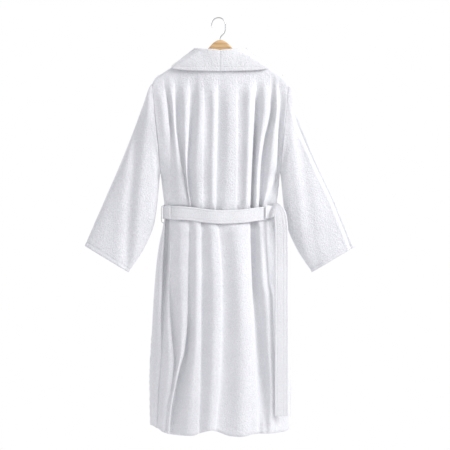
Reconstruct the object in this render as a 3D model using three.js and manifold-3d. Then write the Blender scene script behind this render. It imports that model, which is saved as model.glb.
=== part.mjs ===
// A terry bathrobe with a shawl collar, hung on a wooden coat hanger.
//
// Frame, in millimetres: the origin is the hang point, on the inside of the
// hook's crown straight above the stem. +Z is up, the robe's front faces -Y,
// its back faces +Y, and +X is the wearer's left.
//
// The cloth pieces are plain shells of the right size and place. The robe's
// front panels are each one cut of cloth: here each is held as a chest part
// that stays on the shoulder and a skirt part that can swing open. The belt is
// one strip too, held as a span across the back and two tails that swing.

import * as THREE from 'three';
import * as BufferGeometryUtils from 'three/addons/utils/BufferGeometryUtils.js';
import Module from 'manifold-3d';

// ---------------------------------------------------------------- dimensions
const CLOTH = 5;                 // thickness of a terry panel with its pile
const SEAM_GAP = 1.5;            // half the gap left between panels at a seam
const LAY_GAP = 2;               // gap under a piece that lies on another

const WIRE_R = 1.9;              // hook wire radius
const HOOK_R = 22.9;             // crown radius at the wire's centreline
const HOOK_CX = 5.9;             // crown centre, off the stem towards the open side
const HOOK_CZ = -20.2;           // crown centre, below the hang point
const STEM_TOP_Z = -63;
const STEM_END_Z = -121;
const BORE_R = 2.3;              // stem's bore in the hanger
const NUT_R = 5;
const NUT_IN_R = 2.25;
const NUT_H = 4;
const NUT_BOTTOM_Z = -120.5;
const COUNTERBORE_R = 5.6;

const HANGER_T = 13;             // thickness of the wooden hanger
const HANGER_HALF_SPAN = 212;

const NECK_HALF = 78;            // half the width of the neck opening
const NECK_Z = -107;             // back neck edge
const NECK_Y = 19;               // how far the back neck edge stands behind the hanger
const ARMPIT_Z = -513;
const SHOULDER_TIP_X = 224;
const SHOULDER_TIP_Z = -222;
const SPLIT_Z = -541;            // where a front's chest part ends and its skirt begins
const FRONT_EDGE_X = 4;          // the fronts hang edge to edge at the middle
const HEM_SIDE_Z = -1350;

const BELT_W = 42;
const BELT_T = 5;
const TAIL_TOP_Z = -646;
const TAIL_END_Z = -1310;

// half width of the body at each height
const HALF_WIDTH = [
  [-1372, 229], [-1330, 231], [-1199, 233], [-1035, 226], [-870, 216], [-760, 204],
  [-700, 192], [-648, 183], [-600, 186], [-560, 191], [-513, 196], [-420, 203],
  [-320, 213], [-222, 224],
];
// how far the middle of the back, and of the front, stands from the side seam's plane
const BACK_DEPTH = [
  [-1372, 76], [-1199, 75], [-1035, 72], [-870, 68], [-760, 60], [-648, 50],
  [-560, 56], [-420, 54], [-300, 40], [-222, 34], [-100, 26],
];
const FRONT_DEPTH = [
  [-1372, 70], [-1199, 68], [-1035, 65], [-870, 62], [-760, 56], [-648, 48],
  [-560, 52], [-420, 50], [-300, 38], [-222, 30], [-100, 24],
];
// the ridge of the shoulders, outside the cloth
const SHOULDER_RIDGE = [
  [0, -107], [70, -108], [80, -113], [100, -124], [130, -142], [162, -162], [190, -180],
  [208, -192], [218, -202], [224, -214], [240, -240],
];
// depth of the cloth at a drop below the ridge, where it falls off the hanger
const FALL_OFF = [
  [0, 1.5], [2, 8], [6, 12.5], [20, 16], [50, 20], [110, 30], [200, 42], [320, 52], [480, 62], [2000, 90],
];
// the hem's height along x
const HEM = [
  [-240, -1350], [-222, -1362], [-150, -1370], [-70, -1376], [0, -1366], [60, -1364],
  [100, -1374], [150, -1374], [190, -1362], [212, -1352], [240, -1345],
];

// ------------------------------------------------------------------- helpers
function table(rows, t) {
  if (t <= rows[0][0]) return rows[0][1];
  for (let i = 1; i < rows.length; i++) {
    if (t <= rows[i][0]) {
      const f = (t - rows[i - 1][0]) / (rows[i][0] - rows[i - 1][0]);
      return rows[i - 1][1] + (rows[i][1] - rows[i - 1][1]) * f;
    }
  }
  return rows[rows.length - 1][1];
}
const lerp = THREE.MathUtils.lerp;
const V = (x, y, z) => new THREE.Vector3(x, y, z);

function volume(geometry) {
  const p = geometry.attributes.position, index = geometry.index;
  const a = V(), b = V(), c = V();
  let sum = 0;
  for (let i = 0; i < index.count; i += 3) {
    a.fromBufferAttribute(p, index.getX(i));
    b.fromBufferAttribute(p, index.getX(i + 1));
    c.fromBufferAttribute(p, index.getX(i + 2));
    sum += a.dot(b.clone().cross(c));
  }
  return sum / 6;
}

function faceOut(geometry) {
  if (volume(geometry) < 0) {
    const index = geometry.index;
    for (let i = 0; i < index.count; i += 3) {
      const keep = index.getX(i + 1);
      index.setX(i + 1, index.getX(i + 2));
      index.setX(i + 2, keep);
    }
  }
  return geometry;
}

function merged(geometry) {
  const plain = geometry.clone();
  plain.deleteAttribute('normal');
  plain.deleteAttribute('uv');
  return BufferGeometryUtils.mergeVertices(plain, 1e-4);
}

// A closed slab of nu by nv cells whose vertices are placed by place(u, v, w):
// u and v run along it, and w is 0 on its inner skin and 1 on its outer one.
function slab(nu, nv, place) {
  const g = merged(new THREE.BoxGeometry(1, 1, 1, nu, nv, 1));
  const p = g.attributes.position;
  for (let i = 0; i < p.count; i++) {
    const at = place(p.getX(i) + 0.5, p.getY(i) + 0.5, p.getZ(i) + 0.5);
    p.setXYZ(i, at.x, at.y, at.z);
  }
  return faceOut(g);
}

// A sheet of even thickness under the surface P(u, v); out says which way its
// outer skin faces, and keep holds its inner skin on its own side of a seam.
function sheet(nu, nv, P, thickness, out, keep = (p) => p) {
  const e = 1e-3;
  return slab(nu, nv, (u, v, w) => {
    const at = P(u, v);
    if (w > 0.5) return at;
    const u0 = Math.max(0, u - e), u1 = Math.min(1, u + e);
    const v0 = Math.max(0, v - e), v1 = Math.min(1, v + e);
    const n = P(u1, v).sub(P(u0, v)).cross(P(u, v1).sub(P(u, v0))).normalize();
    if (n.dot(out(at, u, v)) < 0) n.negate();
    return keep(at.addScaledVector(n, -thickness));
  });
}

const wasm = await Module();
wasm.setup();
function solid(geometry) {
  const g = merged(geometry);
  return new wasm.Manifold(new wasm.Mesh({
    numProp: 3,
    vertProperties: new Float32Array(g.attributes.position.array),
    triVerts: new Uint32Array(g.index.array),
  }));
}
function unsolid(made) {
  const mesh = made.getMesh();
  const g = new THREE.BufferGeometry();
  g.setAttribute('position', new THREE.BufferAttribute(new Float32Array(mesh.vertProperties), 3));
  g.setIndex(new THREE.BufferAttribute(new Uint32Array(mesh.triVerts), 1));
  return g;
}

const behind = (p) => p.setY(Math.max(p.y, SEAM_GAP / 2));
const before = (p) => p.setY(Math.min(p.y, -SEAM_GAP / 2));

const robe = new THREE.Group();
const TERRY = { color: 0xf2f2f5, roughness: 0.95, metalness: 0 };
const WOOD = { color: 0xc99a62, roughness: 0.45, metalness: 0 };
const STEEL = { color: 0xc8cacc, roughness: 0.25, metalness: 1 };
function add(name, geometry, look) {
  const mesh = new THREE.Mesh(geometry, new THREE.MeshStandardMaterial(look));
  mesh.name = name;
  robe.add(mesh);
  return mesh;
}

// ----------------------------------------------------------- body's surfaces
const halfWidth = (z) => table(HALF_WIDTH, z);
const ridge = (x) => table(SHOULDER_RIDGE, Math.abs(x));
// the sleeve's root ring: its depth at each height of the armhole
const ARM_TOP = SHOULDER_TIP_Z, ARM_MID = (ARM_TOP + ARMPIT_Z) / 2, ARM_HALF = (ARM_TOP - ARMPIT_Z) / 2;
const ARM_DEPTH = 36;
function armDepth(z) {
  const c = THREE.MathUtils.clamp((z - ARM_MID) / ARM_HALF, -1, 1);
  return ARM_DEPTH * Math.sqrt(1 - c * c);
}
// the shoulder's cloth clears the hanger's end
const shoulderPad = (z) => table([[-330, 0], [-240, 15], [-200, 15]], z);
function neckDepth(x) {
  const s = Math.min(1, Math.abs(x) / (NECK_HALF + 2));
  return NECK_Y * Math.sqrt(1 - s * s);
}
// depth of the cloth's outer skin from the plane of the side seams
function depth(x, z, cap, neck) {
  const s = Math.min(1, Math.abs(x) / halfWidth(z));
  const fall = Math.min(table(FALL_OFF, Math.max(0, ridge(x) - z)), table(cap, z));
  const edge = Math.min(Math.max(armDepth(z), shoulderPad(z)), fall);
  const full = edge + (fall - edge) * Math.pow(Math.max(0, 1 - s * s), 0.65);
  return SEAM_GAP + Math.hypot(full, neck);
}
const backY = (x, z) => depth(x, z, BACK_DEPTH, neckDepth(x) * Math.max(0, 1 - (NECK_Z - z) / 200));
const frontY = (x, z) => -depth(x, z, FRONT_DEPTH, 0);

// ------------------------------------------------------------ hook and hanger
{
  const points = [V(0, 0, STEM_END_Z), V(0, 0, -94), V(0, 0, -74), V(0, 0, STEM_TOP_Z - 3), V(0, 0, STEM_TOP_Z), V(-3.2, 0, -57.5), V(-11, 0, -51), V(-16.4, 0, -42)];
  for (let deg = 190; deg >= -18; deg -= 16) {
    const a = THREE.MathUtils.degToRad(deg);
    points.push(V(HOOK_CX + HOOK_R * Math.cos(a), 0, HOOK_CZ + HOOK_R * Math.sin(a)));
  }
  const path = new THREE.CatmullRomCurve3(points, false, 'centripetal');
  const round = new THREE.Shape();
  round.absarc(0, 0, WIRE_R, 0, Math.PI * 2, false);
  add('hook_wire', faceOut(merged(new THREE.ExtrudeGeometry(round, {
    steps: 44, extrudePath: path, curveSegments: 5, bevelEnabled: false,
  }))), STEEL);

  const ring = [[NUT_IN_R, 0], [NUT_R, 0], [NUT_R, NUT_H], [NUT_IN_R, NUT_H], [NUT_IN_R, 0]]
    .map(([r, h]) => new THREE.Vector2(r, h));
  const nut = new THREE.LatheGeometry(ring, 12).rotateX(Math.PI / 2);
  nut.translate(0, 0, NUT_BOTTOM_Z);
  add('hook_retaining_nut', faceOut(merged(nut)), STEEL);

  // outline in x and z, mirrored about the stem
  const top = [[0, -71], [6, -71.5], [14, -74.5], [23, -80.5], [30, -87.5], [37, -95.5], [46, -105],
    [70, -118], [100, -134], [132, -153], [162, -172], [186, -189], [200, -200], [208, -208]];
  const end = [[HANGER_HALF_SPAN, -216], [211, -224], [205, -228]];
  const under = [[190, -215], [162, -198], [132, -180], [100, -161], [70, -144], [46, -132], [24, -125], [0, -123]];
  const right = [...top, ...end, ...under];
  const left = right.slice(1, -1).reverse().map(([x, z]) => [-x, z]);
  const outline = new THREE.Shape([...right, ...left].map(([x, z]) => new THREE.Vector2(x, z)));
  const blank = new THREE.ExtrudeGeometry(outline, {
    depth: HANGER_T - 4, bevelEnabled: true, bevelThickness: 2, bevelSize: 1.5, bevelOffset: -1.5, bevelSegments: 1,
  });
  blank.rotateX(Math.PI / 2);
  blank.translate(0, (HANGER_T - 4) / 2, 0);
  const bore = new THREE.CylinderGeometry(BORE_R, BORE_R, 80, 20).rotateX(Math.PI / 2);
  bore.translate(0, 0, -96);
  const pocket = new THREE.CylinderGeometry(COUNTERBORE_R, COUNTERBORE_R, 20, 20).rotateX(Math.PI / 2);
  pocket.translate(0, 0, NUT_BOTTOM_Z + NUT_H + 0.5 - 10);
  const body = solid(faceOut(merged(blank))).subtract(solid(bore)).subtract(solid(pocket));
  add('hanger_body', faceOut(unsolid(body)), WOOD);
}

// ----------------------------------------------------------------- back panel
{
  // rows crowd at the ridge, where the cloth turns over the hanger
  const ROWS = [0, 0.0022, 0.0065, 0.018, 0.045, 0.09, 0.14, 0.2, 0.26, 0.32, 0.38, 0.44, 0.52, 0.62, 0.74, 0.87, 1]
    .map((v, i, all) => [i / (all.length - 1), v]);
  const P = (u, t) => {
    const v = table(ROWS, t);
    const s = lerp(-1, 1, u);
    const sideZ = lerp(SHOULDER_TIP_Z, HEM_SIDE_Z, v);
    // columns bunch towards the sides, where the section turns
    const across = Math.sin(s * Math.PI / 2) * 0.5 + s * 0.5;
    const x = across * (halfWidth(sideZ) - (sideZ > ARMPIT_Z ? SEAM_GAP : 0));
    const z = lerp(ridge(x), table(HEM, x), v);
    return V(x, backY(x, Math.min(z, ridge(x))), z);
  };
  add('back_panel', sheet(18, 16, P, CLOTH, (at) => V(at.x * 0.2, 100, 0), behind), TERRY);
}

// --------------------------------------------------------------- front panels
const frontEdge = (z) => table([[-700, FRONT_EDGE_X], [-620, FRONT_EDGE_X], [-300, 46], [-180, 66], [-110, NECK_HALF + 2]], z);
for (const side of [1, -1]) {
  const tag = side > 0 ? 'left' : 'right';
  const place = (u, sideZ, edgeZ, v, topOf) => {
    const sx = halfWidth(sideZ) - (sideZ > ARMPIT_Z ? SEAM_GAP : 0);
    const bent = Math.sin(u * Math.PI / 2) * 0.35 + u * 0.65;
    const x = lerp(sx, frontEdge(edgeZ), bent);
    const z = topOf(x, v);
    return V(side * x, frontY(x, Math.min(z, ridge(x))), z);
  };
  const ROWS = [0, 0.007, 0.02, 0.06, 0.15, 0.32, 0.52, 0.75, 1].map((v, i, all) => [i / (all.length - 1), v]);
  const chest = (u, t) => {
    const v = table(ROWS, t);
    return place(u, lerp(SHOULDER_TIP_Z, SPLIT_Z, v), lerp(-113, SPLIT_Z, v), v, (x, k) => lerp(ridge(x), SPLIT_Z, k));
  };
  add(`front_chest_${tag}`, sheet(9, 8, chest, CLOTH, () => V(0, -100, 0), before), TERRY);
  const skirt = (u, v) => place(u, lerp(SPLIT_Z - 2, HEM_SIDE_Z, v), lerp(SPLIT_Z - 2, -1366, v), v,
    (x, k) => lerp(SPLIT_Z - 2, table(HEM, side * x), k));
  add(`front_skirt_${tag}`, sheet(9, 9, skirt, CLOTH, (at) => V(at.x * 0.2, -100, 0), before), TERRY);
}

// --------------------------------------------------------------- shawl collar
{
  // roll line and outer edge, from the left shoulder round the back of the neck
  const ROLL = [[0, 84, -99], [30, 76, -98], [60, 42, -101], [90, 0, -102]];
  const EDGE = [[0, 161, -152], [14, 152, -158], [32, 130, -163], [52, 98, -171], [90, 0, -175]];
  const at = (rows, deg, k) => table(rows.map((r) => [r[0], r[k]]), deg);
  const P = (u, t) => {
    const deg = lerp(0, 180, u);
    const fold = deg > 90 ? 180 - deg : deg, sgn = deg > 90 ? -1 : 1;
    const x = lerp(at(ROLL, fold, 1), at(EDGE, fold, 1), t);
    const z = lerp(at(ROLL, fold, 2), at(EDGE, fold, 2), t);
    const drop = Math.max(0, ridge(x) + 10 - z);
    const under = table(FALL_OFF, drop) + 10 * Math.min(1, drop / 12);
    const round = (NECK_Y + 12) * Math.sin(THREE.MathUtils.degToRad(deg));
    return V(sgn * x, SEAM_GAP + Math.max(fold > 0 ? under : 0, round), z);
  };
  add('shawl_collar', sheet(22, 4, P, CLOTH, (p) => V(p.x * 0.1, 60, 60), behind), TERRY);

  // lapels lie on the chest, from the shoulder ridge down to the split
  const L_ROLL = [[-540, 12], [-420, 30], [-300, 50], [-200, 68], [-140, 80], [-99, 84]];
  const L_OUT = [[-538, 58], [-480, 100], [-400, 134], [-300, 158], [-220, 166], [-152, 161]];
  for (const side of [1, -1]) {
    const LAPEL_ROWS = [0, 0.006, 0.016, 0.04, 0.09, 0.2, 0.36, 0.56, 0.78, 1].map((v, i, all) => [i / (all.length - 1), v]);
    const lapel = (u, t) => {
      const v = table(LAPEL_ROWS, t);
      const rz = lerp(-99, -540, v), oz = lerp(-152, -538, v);
      const x = lerp(table(L_ROLL, rz), table(L_OUT, oz), u);
      const z = lerp(rz, oz, u);
      const drop = Math.max(0, ridge(x) + 10 - z);
      const lie = drop < 10 ? 0 : -frontY(x, Math.min(z, ridge(x))) + LAY_GAP + CLOTH;
      const under = table(FALL_OFF, drop) + 8 * Math.min(1, drop / 12);
      return V(side * x, -SEAM_GAP - Math.max(under, lie), z);
    };
    add(`lapel_${side > 0 ? 'left' : 'right'}`, sheet(4, 9, lapel, CLOTH, () => V(0, -60, 25), before), TERRY);
  }
}

// -------------------------------------------------------------------- sleeves
{
  // outer and inner outline of a hanging sleeve, root to cuff: [share, x, z]
  const OUTER = [[0, 226, -221], [0.14, 254, -283], [0.3, 283, -362], [0.5, 330, -480], [0.75, 390, -618], [1, 449, -750]];
  const INNER = [[0, 198, -513], [0.14, 203, -560], [0.3, 208, -610], [0.5, 219, -680], [0.75, 251, -757], [1, 302, -837]];
  const DEEP = [[0, ARM_DEPTH], [0.5, 36], [0.75, 30], [1, 24]];
  const pick = (rows, t, k) => table(rows.map((r) => [r[0], r[k]]), t);
  for (const side of [1, -1]) {
    // a tube: its wall's section turned about the axis, then set onto the rings
    const wall = [[1, 0], [1, 0.14], [1, 0.3], [1, 0.5], [1, 0.75], [1, 1], [0, 1], [0, 0.75], [0, 0.5], [0, 0.3], [0, 0.14], [0, 0], [1, 0]];
    const g = merged(new THREE.LatheGeometry(wall.map(([w, t]) => new THREE.Vector2(1 + w, t)), 16));
    const p = g.attributes.position;
    for (let i = 0; i < p.count; i++) {
      const r = Math.hypot(p.getX(i), p.getZ(i)), t = p.getY(i);
      const a = Math.atan2(p.getZ(i), p.getX(i));
      const inset = r > 1.5 ? 0 : CLOTH;
      const ox = pick(OUTER, t, 1), oz = pick(OUTER, t, 2), ix = pick(INNER, t, 1), iz = pick(INNER, t, 2);
      const half = Math.hypot(ox - ix, oz - iz) / 2;
      const dx = (ox - ix) / (2 * half), dz = (oz - iz) / (2 * half);
      const along = (half - inset) * Math.cos(a), deep = (pick(DEEP, t, 1) - inset) * Math.sin(a);
      p.setXYZ(i, side * ((ox + ix) / 2 + dx * along), deep, (oz + iz) / 2 + dz * along);
    }
    add(`sleeve_${side > 0 ? 'left' : 'right'}`, faceOut(g), TERRY);
  }
}

// -------------------------------------------------------------------- pockets
for (const side of [1, -1]) {
  const X0 = 18, X1 = 166, Z0 = -790, Z1 = -960, STAND = 19;
  const P = (u, v) => {
    const x = lerp(X0, X1, u), z = lerp(Z0, Z1, v);
    const lift = Math.min(1, Math.sin(Math.PI * u) * 2.2) * Math.min(1, (1 - v) * 3.2);
    return V(side * x, frontY(x, z) - LAY_GAP - CLOTH - STAND * lift, z);
  };
  add(`pocket_${side > 0 ? 'left' : 'right'}`, sheet(9, 6, P, CLOTH - 0.5, () => V(0, -100, 0)), TERRY);
}

// ----------------------------------------------------------------------- belt
{
  const SAG = [[-152, -640], [-100, -644], [-40, -650], [0, -656], [30, -656], [100, -648], [152, -641]];
  const span = (u, v) => {
    const x = lerp(-152, 162, u);
    const z = table(SAG, x) + lerp(BELT_W / 2, -BELT_W / 2, v);
    return V(x, backY(x, z) + LAY_GAP + BELT_T + 6 * Math.pow(x / 170, 4), z);
  };
  add('belt_back_span', sheet(16, 1, span, BELT_T, () => V(0, 100, 0)), TERRY);

  const tail = (name, x, y) => {
    const strip = new THREE.BoxGeometry(BELT_W, BELT_T, TAIL_TOP_Z - TAIL_END_Z, 1, 1, 4);
    strip.translate(x, y, (TAIL_TOP_Z + TAIL_END_Z) / 2);
    add(name, faceOut(merged(strip)), TERRY);
  };
  tail('belt_tail_right', -201, 52);
  tail('belt_tail_left', 163, -88);

  // a loop of narrow tape at each side seam: a flat C, open towards the body
  for (const side of [1, -1]) {
    const z0 = -616, z1 = -676, x0 = halfWidth(-680) + 3.5, x1 = x0 + 12, t = 2.5;
    const c = new THREE.Shape([[x0, z0], [x1, z0], [x1, z1], [x0, z1], [x0, z1 + t], [x1 - t, z1 + t], [x1 - t, z0 - t], [x0, z0 - t]]
      .map(([x, z]) => new THREE.Vector2(side * x, z)));
    const g = new THREE.ExtrudeGeometry(c, { depth: 10, bevelEnabled: false });
    g.rotateX(Math.PI / 2);
    g.translate(0, 10, 0);
    add(`belt_loop_${side > 0 ? 'left' : 'right'}`, faceOut(merged(g)), TERRY);
  }
}

export default robe;
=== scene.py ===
"""Looks of a terry bathrobe on a wooden hanger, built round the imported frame.

Millimetres in the tables, metres in Blender. +Z up, the robe's back faces +Y.
"""
import math

import bpy
import numpy as np
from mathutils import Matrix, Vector


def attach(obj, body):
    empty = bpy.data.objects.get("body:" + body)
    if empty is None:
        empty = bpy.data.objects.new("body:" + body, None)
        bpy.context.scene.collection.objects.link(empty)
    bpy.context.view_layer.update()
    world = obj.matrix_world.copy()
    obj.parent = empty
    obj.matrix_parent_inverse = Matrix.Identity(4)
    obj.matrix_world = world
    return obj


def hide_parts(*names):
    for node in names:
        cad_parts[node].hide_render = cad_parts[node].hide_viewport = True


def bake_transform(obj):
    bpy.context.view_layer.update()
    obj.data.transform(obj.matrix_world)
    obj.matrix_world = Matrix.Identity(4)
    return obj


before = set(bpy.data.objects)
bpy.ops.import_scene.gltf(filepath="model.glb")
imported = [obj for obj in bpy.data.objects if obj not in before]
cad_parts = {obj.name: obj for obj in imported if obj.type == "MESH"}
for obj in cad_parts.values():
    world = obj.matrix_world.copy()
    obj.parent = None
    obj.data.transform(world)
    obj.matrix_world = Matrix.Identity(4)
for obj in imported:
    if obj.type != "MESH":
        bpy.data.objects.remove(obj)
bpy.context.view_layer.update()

MM = 0.001
CLOTH = 4.2          # thickness of a terry panel with its pile
WRAP = 0.75          # half the gap between front and back at the side seams


# ------------------------------------------------------------------- helpers
def rows_of(rows):
    """A table as arrays with its keys rising."""
    rows = sorted(rows)
    return np.array([r[0] for r in rows], float), np.array([r[1] for r in rows], float)


def lin(rows, t):
    k, v = rows_of(rows)
    return np.interp(t, k, v)


def smooth(rows, t):
    """Monotone cubic through a table's rows, level past its ends."""
    k, v = rows_of(rows)
    t = np.clip(np.asarray(t, float), k[0], k[-1])
    if len(k) == 1:
        return np.full(t.shape, v[0])
    h = np.diff(k)
    d = np.diff(v) / h
    m = np.zeros(len(k))
    m[0], m[-1] = d[0], d[-1]
    for i in range(1, len(k) - 1):
        if d[i - 1] * d[i] > 0:
            w1, w2 = 2 * h[i] + h[i - 1], h[i] + 2 * h[i - 1]
            m[i] = (w1 + w2) / (w1 / d[i - 1] + w2 / d[i])
    i = np.clip(np.searchsorted(k, t, side="right") - 1, 0, len(k) - 2)
    s = (t - k[i]) / h[i]
    return (
        v[i] * (2 * s**3 - 3 * s**2 + 1)
        + m[i] * h[i] * (s**3 - 2 * s**2 + s)
        + v[i + 1] * (-2 * s**3 + 3 * s**2)
        + m[i + 1] * h[i] * (s**3 - s**2)
    )


def bump01(t):
    t = np.clip(t, 0.0, 1.0)
    return t * t * (3 - 2 * t)


def bell(d):
    return np.exp(-d * d)


def spline(ctrl, n, ends=True):
    """n points along a uniform cubic B-spline whose control points are ctrl (k, ...)."""
    c = np.asarray(ctrl, float)
    if ends:
        c = np.concatenate([c[:1], c[:1], c, c[-1:], c[-1:]])
    spans = len(c) - 3
    t = np.linspace(0, spans, n)
    i = np.minimum(t.astype(int), spans - 1)
    s = (t - i)[:, None]
    return (
        c[i] * (1 - s) ** 3
        + c[i + 1] * (3 * s**3 - 6 * s**2 + 4)
        + c[i + 2] * (-3 * s**3 + 3 * s**2 + 3 * s + 1)
        + c[i + 3] * s**3
    ) / 6


_rng = np.random.default_rng(20261)
_lat = _rng.uniform(-1, 1, (64, 64, 64))


def noise3(p, size):
    """Smooth value noise in -1..1 at points p (..., 3) in mm, with cells of that size."""
    q = np.asarray(p, float) / size
    i = np.floor(q).astype(int)
    f = q - i
    f = f * f * (3 - 2 * f)
    out = np.zeros(q.shape[:-1])
    for dx in (0, 1):
        for dy in (0, 1):
            for dz in (0, 1):
                w = (
                    (f[..., 0] if dx else 1 - f[..., 0])
                    * (f[..., 1] if dy else 1 - f[..., 1])
                    * (f[..., 2] if dz else 1 - f[..., 2])
                )
                out += w * _lat[(i[..., 0] + dx) % 64, (i[..., 1] + dy) % 64, (i[..., 2] + dz) % 64]
    return out


def normals(p, wrap=False):
    """Unit normals of a grid of points (rows, columns, 3)."""
    if wrap:
        e = np.concatenate([p[:, -1:], p, p[:, :1]], axis=1)
        du = e[:, 2:] - e[:, :-2]
    else:
        du = np.gradient(p, axis=1)
    dv = np.gradient(p, axis=0)
    n = np.cross(du, dv)
    length = np.linalg.norm(n, axis=2, keepdims=True)
    return n / np.maximum(length, 1e-9)


def cloth(name, p, thick=CLOTH, out=(0, 1, 0), wrap=False, pile=0.35, lift=None, material=None):
    """A closed sheet of cloth whose outer skin is the grid p, in mm, with rounded rims."""
    p = np.array(p, float)
    n = normals(p, wrap)
    if callable(out):
        facing = np.sum(n * out(p), axis=2).sum()
    else:
        facing = np.sum(n * np.array(out, float)).sum()
    flip = facing < 0
    if flip:
        n = -n
    if pile:
        p = p + n * (pile * noise3(p, 6.5) + 0.6 * pile * noise3(p + 400, 3.1))[..., None]
    if lift is not None:
        p = p + n * lift[..., None]
    rows, cols = p.shape[:2]
    inner = p - n * thick
    mid = p - n * thick / 2
    verts = [p.reshape(-1, 3), inner.reshape(-1, 3)]
    size = rows * cols
    faces = []
    r, c = np.meshgrid(np.arange(rows - 1), np.arange(cols if wrap else cols - 1), indexing="ij")
    r, c = r.ravel(), c.ravel()
    c1 = (c + 1) % cols
    quad = np.stack([r * cols + c, r * cols + c1, (r + 1) * cols + c1, (r + 1) * cols + c], 1)
    if flip:
        quad = quad[:, ::-1]
    faces.append(quad)
    faces.append(quad[:, ::-1] + size)
    # rims: the boundary loops, each with a middle line pushed out so that the edge is round
    base = 2 * size
    loops = []
    if wrap:
        loops.append(([(0, k) for k in range(cols)], -1))
        loops.append(([(rows - 1, k) for k in range(cols)], 1))
    else:
        ring = [(0, k) for k in range(cols)] + [(k, cols - 1) for k in range(1, rows)]
        ring += [(rows - 1, k) for k in range(cols - 2, -1, -1)] + [(k, 0) for k in range(rows - 2, 0, -1)]
        loops.append((ring, 0))
    for ring, mode in loops:
        at = np.array(ring)
        here = p[at[:, 0], at[:, 1]]
        inward = np.empty_like(here)
        for k, (i, j) in enumerate(ring):
            a = min(max(i, 1), rows - 2)
            b = j if wrap else min(max(j, 1), cols - 2)
            inward[k] = p[a, b] - p[i, j]
        nn = n[at[:, 0], at[:, 1]]
        inward -= nn * np.sum(inward * nn, axis=1, keepdims=True)
        length = np.linalg.norm(inward, axis=1, keepdims=True)
        outward = -inward / np.maximum(length, 1e-9)
        middle = mid[at[:, 0], at[:, 1]] + outward * thick * 0.35
        verts.append(middle)
        o = at[:, 0] * cols + at[:, 1]
        m = base + np.arange(len(ring))
        base += len(ring)
        o2, m2 = np.roll(o, -1), np.roll(m, -1)
        a1 = np.stack([o2, o, m, m2], 1)
        a2 = np.stack([m2, m, o + size, o2 + size], 1)
        if mode == 1:
            a1, a2 = a1[:, ::-1], a2[:, ::-1]
        if flip:
            a1, a2 = a1[:, ::-1], a2[:, ::-1]
        faces += [a1, a2]
    return build(name, np.concatenate(verts) * MM, np.concatenate(faces), material)


def build(name, verts, faces, material=None, sharp=None):
    mesh = bpy.data.meshes.new(name)
    faces = np.asarray(faces)
    mesh.vertices.add(len(verts))
    mesh.vertices.foreach_set("co", np.asarray(verts, np.float32).ravel())
    mesh.loops.add(faces.size)
    mesh.loops.foreach_set("vertex_index", faces.astype(np.int32).ravel())
    mesh.polygons.add(len(faces))
    mesh.polygons.foreach_set("loop_start", np.arange(0, faces.size, faces.shape[1], dtype=np.int32))
    mesh.polygons.foreach_set("use_smooth", np.ones(len(faces), bool))
    mesh.update(calc_edges=True)
    mesh.validate()
    obj = bpy.data.objects.new(name, mesh)
    bpy.context.scene.collection.objects.link(obj)
    if material is not None:
        mesh.materials.append(material)
    return obj


def join(name, objs):
    bpy.ops.object.select_all(action="DESELECT")
    for o in objs:
        o.select_set(True)
    bpy.context.view_layer.objects.active = objs[0]
    bpy.ops.object.join()
    objs[0].name = name
    objs[0].data.name = name
    return objs[0]


def tube(name, path, radius, sides=16, material=None, caps=True):
    """A round bar along a path of points in mm, with domed ends."""
    path = np.asarray(path, float)
    t = np.gradient(path, axis=0)
    t /= np.linalg.norm(t, axis=1, keepdims=True)
    ref = np.array([0.0, 1.0, 0.0])
    a = np.cross(t, ref)
    a /= np.linalg.norm(a, axis=1, keepdims=True)
    b = np.cross(t, a)
    r = np.broadcast_to(np.asarray(radius, float), (len(path),)).copy()
    if caps:
        path = np.concatenate([path[:1] - t[:1] * r[0] * 0.9, path[:1] - t[:1] * r[0] * 0.55, path, path[-1:] + t[-1:] * r[-1] * 0.55, path[-1:] + t[-1:] * r[-1] * 0.9])
        a = np.concatenate([a[:1], a[:1], a, a[-1:], a[-1:]])
        b = np.concatenate([b[:1], b[:1], b, b[-1:], b[-1:]])
        r = np.concatenate([[r[0] * 0.45, r[0] * 0.84], r, [r[-1] * 0.84, r[-1] * 0.45]])
    ang = np.linspace(0, 2 * math.pi, sides, endpoint=False)
    ring = path[:, None] + r[:, None, None] * (a[:, None] * np.cos(ang)[None, :, None] + b[:, None] * np.sin(ang)[None, :, None])
    rows = len(path)
    v = np.concatenate([ring.reshape(-1, 3), path[:1], path[-1:]])
    i, j = np.meshgrid(np.arange(rows - 1), np.arange(sides), indexing="ij")
    i, j = i.ravel(), j.ravel()
    j1 = (j + 1) % sides
    quads = np.stack([i * sides + j, i * sides + j1, (i + 1) * sides + j1, (i + 1) * sides + j], 1)
    k = np.arange(sides)
    k1 = (k + 1) % sides
    first, last = rows * sides, rows * sides + 1
    tris1 = np.stack([np.full(sides, first), k1, k, k], 1)
    tris2 = np.stack([np.full(sides, last), (rows - 1) * sides + k, (rows - 1) * sides + k1, (rows - 1) * sides + k1], 1)
    mesh = bpy.data.meshes.new(name)
    polys = [tuple(q) for q in quads] + [tuple(q[:3]) for q in tris1] + [tuple(q[:3]) for q in tris2]
    mesh.from_pydata([tuple(x) for x in v * MM], [], polys)
    mesh.polygons.foreach_set("use_smooth", np.ones(len(mesh.polygons), bool))
    mesh.update()
    import bmesh
    bm = bmesh.new()
    bm.from_mesh(mesh)
    bmesh.ops.recalc_face_normals(bm, faces=bm.faces)
    bm.to_mesh(mesh)
    bm.free()
    obj = bpy.data.objects.new(name, mesh)
    bpy.context.scene.collection.objects.link(obj)
    if material is not None:
        mesh.materials.append(material)
    return obj


# ------------------------------------------------------------------ materials
def new_material(name):
    m = bpy.data.materials.new(name)
    m.use_nodes = True
    t = m.node_tree
    t.nodes.clear()
    out = t.nodes.new("ShaderNodeOutputMaterial")
    shader = t.nodes.new("ShaderNodeBsdfPrincipled")
    t.links.new(shader.outputs[0], out.inputs[0])
    return m, t, shader


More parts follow.
